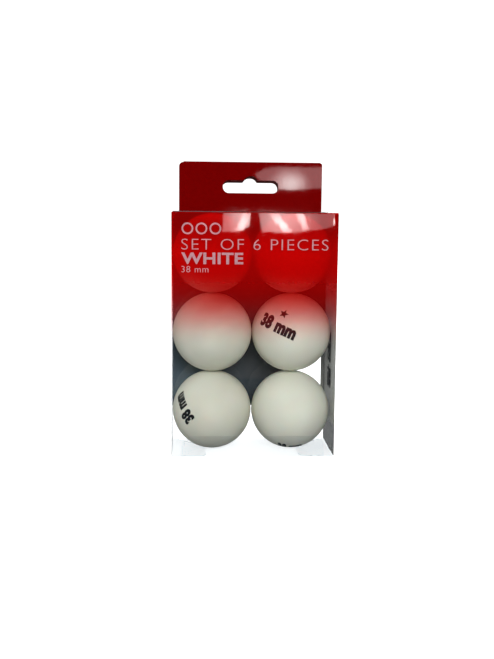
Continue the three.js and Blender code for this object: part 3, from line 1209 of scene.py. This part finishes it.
# ---------------------------------------------------------------- camera, floor and light

CAMERA = Vector((-30.0, -475.6, 120.0)) * MM
CAMERA_YAW = math.radians(3.34)  # to the right of straight ahead
CAMERA_PITCH = math.radians(-7.32)
CAMERA_ROLL = math.radians(0.58)
GLARE_Y = -1.0  # of the lamps that the front and the header mirror
DARK_Y = -1.3  # of the unlit room behind them
FLOOR_GLOW = 1.1
BACKDROP_GLOW = 1.25
WORLD_GLOW = 0.225


def make_camera():
    camera = bpy.data.objects.new("camera", bpy.data.cameras.new("camera"))
    camera.location = CAMERA
    turn = Matrix.Rotation(-CAMERA_YAW, 3, "Z") @ Matrix.Rotation(math.pi / 2 + CAMERA_PITCH, 3, "X")
    camera.rotation_euler = (turn @ Matrix.Rotation(CAMERA_ROLL, 3, "Z")).to_euler()
    camera.data.lens = 54.0
    camera.data.sensor_width = 36
    camera.data.clip_start = 0.01
    bpy.context.scene.collection.objects.link(camera)
    bpy.context.scene.camera = camera


def make_card(name, corners, material):
    """A flat card that shows only in glossy surfaces, as a lamp or a dark room would."""
    mesh = bpy.data.meshes.new(name)
    mesh.from_pydata([tuple(c) for c in corners], [], [tuple(range(len(corners)))])
    mesh.materials.append(material)
    card = bpy.data.objects.new(name, mesh)
    bpy.context.scene.collection.objects.link(card)
    card.visible_camera = False
    card.visible_diffuse = False
    card.visible_shadow = False
    card.visible_transmission = False
    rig.stage(card)


def make_lamp_glow(name, heart, reach, bright, dim):
    """A glow that falls off from its heart, and is pinker where it is dim."""
    material, tree = new_material(name)
    offset = add(tree, "VectorMath", {0: place_in_frame(tree), 1: heart}, operation="SUBTRACT")
    scale = Vector((1 / reach.x, 0, 1 / reach.z))
    scaled = add(tree, "VectorMath", {0: offset.outputs[0], 1: scale}, operation="MULTIPLY")
    distance = add(tree, "VectorMath", {0: scaled.outputs[0]}, operation="LENGTH").outputs["Value"]
    nearness = map_range(tree, distance, 1, 0, 0, 1, "SMOOTHSTEP")
    colour = mix_colours(tree, nearness, (1, 0.66, 0.66, 1), (1, 0.95, 0.93, 1))
    strength = map_range(tree, nearness, 0, 1, dim, bright)
    glow = add(tree, "Emission", {"Color": colour, "Strength": strength})
    finish_material(tree, glow.outputs[0])
    return material


def mirrored(x, z, panel_y, lamp_y):
    """Where a lamp must be for the camera to see it mirrored in a panel at (x, z), in mm."""
    on_panel = Vector((x, 0, z)) * MM
    away = on_panel - CAMERA
    share = (panel_y - lamp_y) / (panel_y - CAMERA.y)
    return Vector((on_panel.x + away.x * share, lamp_y, on_panel.z + away.z * share))


def make_glare(name, panel_y, outline, heart, reach, bright, dim, nearer=0):
    """A lamp that is mirrored in the panel at panel_y, over that outline on it, and is brightest
    at its heart, all in millimetres on the panel. Nearer lamps hide the ones behind them."""
    lamp_y = GLARE_Y + nearer
    corners = [mirrored(x, z, panel_y, lamp_y) for x, z in outline]
    centre = mirrored(*heart, panel_y, lamp_y)
    edge = mirrored(heart[0] + reach[0], heart[1] + reach[1], panel_y, lamp_y)
    make_card(name, corners, make_lamp_glow(name, centre, edge - centre, bright, dim))


PAST_EDGE = 52  # mm, beyond the panels' right edges


def make_glares():
    top = HEIGHT / MM
    header = [(1.9, 133.9), (6.9, 136.6), (12.4, 137.6), (20.7, 138), (PAST_EDGE, 138.2)]
    header += [(PAST_EDGE, 129.4), (35.4, 127.9), (29.3, 127), (20.9, 126), (14.8, 126.7), (8, 127)]
    make_glare("glare_header", header_low.y, header, (19.5, 129.4), (12, 9.5), 31, 7)

    left = [(-14.9, 106.4), (-9.5, 106.6), (-6, 107.5), (-2.6, 109.4), (-1.9, top), (-14.1, top)]
    make_glare("glare_left", FRONT, left, (-3.5, 113), (11, 12), 24, 9)
    streak = [(-9.6, 107.2), (-5.6, 107.4), (-2.4, top), (-5, top)]
    make_glare("glare_left_streak", FRONT, streak, (-6, 110), (6, 9), 40, 20, 0.01)

    right = [(3, 106.3), (11.3, 106.1), (20.6, 106.2), (26.1, 107.2), (31.7, 108.3), (37.2, 110)]
    right += [(PAST_EDGE, 113), (PAST_EDGE, top), (0.6, top)]
    make_glare("glare_right", FRONT, right, (12, 112), (20, 14), 17, 5.5)
    streak = [(13.2, 106.4), (17.3, 106.4), (9, top), (4.8, top)]
    make_glare("glare_right_streak_a", FRONT, streak, (12, 110), (12, 9), 44, 16, 0.01)
    streak = [(21.5, 106.6), (25.2, 107.6), (21.4, top), (17.7, top)]
    make_glare("glare_right_streak_b", FRONT, streak, (21, 112), (8, 10), 34, 16, 0.01)
    glint = [(38.6, 110.2), (PAST_EDGE, 110.2), (PAST_EDGE, 113.4), (39.2, 113.4)]
    make_glare("glare_right_glint", FRONT, glint, (42, 112), (14, 14), 44, 30, 0.01)


def make_area_light(name, place, target, size, power):
    light = bpy.data.lights.new(name, "AREA")
    light.shape = "DISK"
    light.size = size
    light.energy = power
    lamp = bpy.data.objects.new(name, light)
    lamp.location = place
    lamp.rotation_euler = (Vector(target) - Vector(place)).to_track_quat("-Z", "Y").to_euler()
    lamp.visible_glossy = False
    bpy.context.scene.collection.objects.link(lamp)


def make_stage():
    scene = bpy.context.scene
    scene.view_settings.view_transform = "Standard"
    scene.cycles.transparent_max_bounces = 48

    world = bpy.data.worlds.new("studio")
    world.use_nodes = True
    background = world.node_tree.nodes["Background"]
    background.inputs["Color"].default_value = (1, 1, 0.98, 1)
    background.inputs["Strength"].default_value = WORLD_GLOW
    scene.world = world

    bm = bmesh.new()
    bmesh.ops.create_circle(bm, cap_ends=True, segments=64, radius=6)
    floor = mesh_object("floor", bm, [make_floor_material(FLOOR_GLOW)])
    floor.location.z = -0.02 * MM
    floor.visible_diffuse = False
    floor.visible_glossy = False
    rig.stage(floor)

    bm = bmesh.new()
    bmesh.ops.create_uvsphere(bm, u_segments=48, v_segments=24, radius=7)
    backdrop = mesh_object("backdrop", bm, [make_glow("backdrop", (1, 1, 1), BACKDROP_GLOW)])
    backdrop.visible_diffuse = False
    backdrop.visible_glossy = False
    backdrop.visible_shadow = False
    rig.stage(backdrop)

    centre = (0, MIDDLE, HEIGHT / 2)
    make_area_light("key", (0.05, -1.1, 0.5), centre, 0.5, 11)
    make_area_light("left_fill", (-1, -0.35, 0.3), centre, 0.6, 2.6)
    make_area_light("rear_fill", (0.5, 1.4, 0.6), centre, 0.8, 5)
    make_area_light("overhead", (0, 0.25, 1.5), (0, 0.1, 0), 1.6, 16)

    dark = make_glow("dark_room", (0.5, 0.55, 0.6), 0.01)
    make_card("dark_room", [(-2, DARK_Y, -2), (2, DARK_Y, -2), (2, DARK_Y, 2), (-2, DARK_Y, 2)], dark)
    make_glares()


make_camera()
make_walls()
make_glue_flap()
make_header()
for end, turn in (("top", unturned), ("bottom", half_turn)):
    make_lid(end, turn)
    make_tuck(end, turn)
    make_dust_flaps(end, turn)
make_balls()
make_front_lettering()
make_side_marks()
make_back_marks()
make_ball_marks()
make_stage()

visual_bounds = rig.bounds()
with open("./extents.json", "w") as out:
    sizes = {
        "cad": [[float(x) for x in corner] for corner in cad_bounds],
        "visual": [[float(x) for x in corner] for corner in visual_bounds],
    }
    json.dump(sizes, out)
